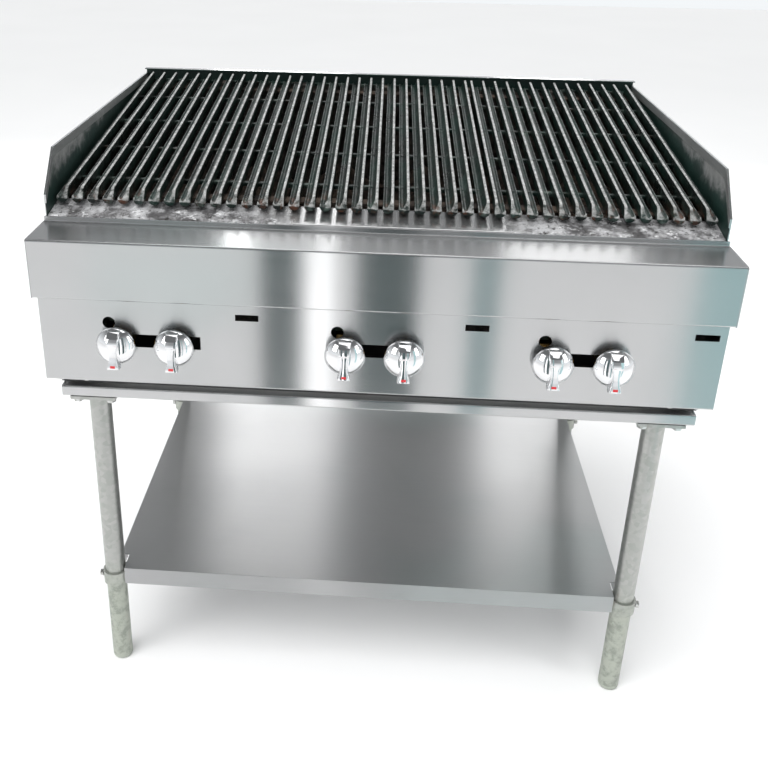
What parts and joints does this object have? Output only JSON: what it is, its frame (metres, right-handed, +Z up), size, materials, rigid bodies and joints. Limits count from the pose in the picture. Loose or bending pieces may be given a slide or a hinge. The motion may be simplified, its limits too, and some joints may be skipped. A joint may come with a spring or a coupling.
{
  "type": "gas charbroiler on a stand",
  "caption": "Countertop gas charbroiler with sloping cast grates between stainless guards, chrome knobs and a pull-out drip tray, on a tube-leg stand with an undershelf.",
  "frame": {"origin": "on the floor, under the middle of the whole object", "axes": "+X to the right as seen from the front, -Y towards the cook, +Z up"},
  "size_m": [0.914, 0.73, 0.87],
  "materials": {
    "stainless": "brushed stainless sheet",
    "stained_stainless": "heat-stained stainless with burnt grease",
    "firebox_steel": "scorched sheet steel",
    "cast_iron": "seasoned cast iron, worn bright on the ridges",
    "burner_iron": "raw grey cast iron",
    "dark_steel": "greasy dark steel",
    "pipe_iron": "black iron pipe",
    "brass": "turned brass",
    "aluminium_tube": "drawn tube",
    "chrome": "polished chrome",
    "galvanised": "mottled galvanised tube",
    "zinc_bolts": "zinc-plated fasteners",
    "leg_plastic": "grey moulded plastic"
  },
  "bodies": {
    "charbroiler": {"left_side_panel": "stainless", "right_side_panel": "stainless", "back_panel": "stainless", "control_panel": "stainless", "front_ledge": "stainless", "ledge_end_caps": "stainless", "grease_deflector": "stained_stainless", "firebox_front_wall": "firebox_steel", "firebox_rear_wall": "firebox_steel", "firebox_liners": "firebox_steel", "grate_rests": "dark_steel", "firebox_rails": "dark_steel", "radiants": "dark_steel", "burner_1": "burner_iron", "burner_2": "burner_iron", "burner_3": "burner_iron", "burner_4": "burner_iron", "burner_5": "burner_iron", "burner_6": "burner_iron", "gas_manifold": "pipe_iron", "gas_inlet_pipe": "pipe_iron", "gas_elbow": "pipe_iron", "gas_valves": "brass", "burner_orifices": "brass", "pilot_burners": "stained_stainless", "pilot_tubes": "aluminium_tube", "pilot_valves": "brass", "tray_runners": "stainless", "body_screws": "zinc_bolts", "frame_cross_rails": "stainless", "frame_side_rails": "stainless", "front_left_leg": "galvanised", "front_right_leg": "galvanised", "rear_left_leg": "galvanised", "rear_right_leg": "galvanised", "leg_flanges": "galvanised", "flange_bolts": "zinc_bolts", "leg_plugs": "leg_plastic", "undershelf": "stainless", "shelf_collars": "galvanised", "collar_screws": "zinc_bolts"},
    "control_1": {"knob_1": "chrome", "valve_stem_1": "brass"},
    "control_2": {"knob_2": "chrome", "valve_stem_2": "brass"},
    "control_3": {"knob_3": "chrome", "valve_stem_3": "brass"},
    "control_4": {"knob_4": "chrome", "valve_stem_4": "brass"},
    "control_5": {"knob_5": "chrome", "valve_stem_5": "brass"},
    "control_6": {"knob_6": "chrome", "valve_stem_6": "brass"},
    "loose_grate_1": {"grate_1": "cast_iron"},
    "loose_grate_2": {"grate_2": "cast_iron"},
    "loose_grate_3": {"grate_3": "cast_iron"},
    "loose_grate_4": {"grate_4": "cast_iron"},
    "loose_grate_5": {"grate_5": "cast_iron"},
    "loose_grate_6": {"grate_6": "cast_iron"},
    "pull_out_tray": {"drip_tray": "dark_steel"}
  },
  "joints": [
    {"name": "knob_1_turn", "type": "hinge", "parent": "charbroiler", "child": "control_1", "pos_m": [-0.345, -0.341, 0.626], "axis": [0, -1, 0], "range_deg": [0, 90]},
    {"name": "knob_2_turn", "type": "hinge", "parent": "charbroiler", "child": "control_2", "pos_m": [-0.267, -0.341, 0.626], "axis": [0, -1, 0], "range_deg": [0, 90]},
    {"name": "knob_3_turn", "type": "hinge", "parent": "charbroiler", "child": "control_3", "pos_m": [-0.039, -0.341, 0.626], "axis": [0, -1, 0], "range_deg": [0, 90]},
    {"name": "knob_4_turn", "type": "hinge", "parent": "charbroiler", "child": "control_4", "pos_m": [0.039, -0.341, 0.626], "axis": [0, -1, 0], "range_deg": [0, 90]},
    {"name": "knob_5_turn", "type": "hinge", "parent": "charbroiler", "child": "control_5", "pos_m": [0.232, -0.341, 0.626], "axis": [0, -1, 0], "range_deg": [0, 90]},
    {"name": "knob_6_turn", "type": "hinge", "parent": "charbroiler", "child": "control_6", "pos_m": [0.31, -0.341, 0.626], "axis": [0, -1, 0], "range_deg": [0, 90]},
    {"name": "grate_1_lift", "type": "slide", "parent": "charbroiler", "child": "loose_grate_1", "axis": [0, 0, 1], "range_m": [0, 0.13]},
    {"name": "grate_2_lift", "type": "slide", "parent": "charbroiler", "child": "loose_grate_2", "axis": [0, 0, 1], "range_m": [0, 0.13]},
    {"name": "grate_3_lift", "type": "slide", "parent": "charbroiler", "child": "loose_grate_3", "axis": [0, 0, 1], "range_m": [0, 0.13]},
    {"name": "grate_4_lift", "type": "slide", "parent": "charbroiler", "child": "loose_grate_4", "axis": [0, 0, 1], "range_m": [0, 0.13]},
    {"name": "grate_5_lift", "type": "slide", "parent": "charbroiler", "child": "loose_grate_5", "axis": [0, 0, 1], "range_m": [0, 0.13]},
    {"name": "grate_6_lift", "type": "slide", "parent": "charbroiler", "child": "loose_grate_6", "axis": [0, 0, 1], "range_m": [0, 0.13]},
    {"name": "drip_tray_slide", "type": "slide", "parent": "charbroiler", "child": "pull_out_tray", "axis": [0, -1, 0], "range_m": [0, 0.45]}
  ]
}
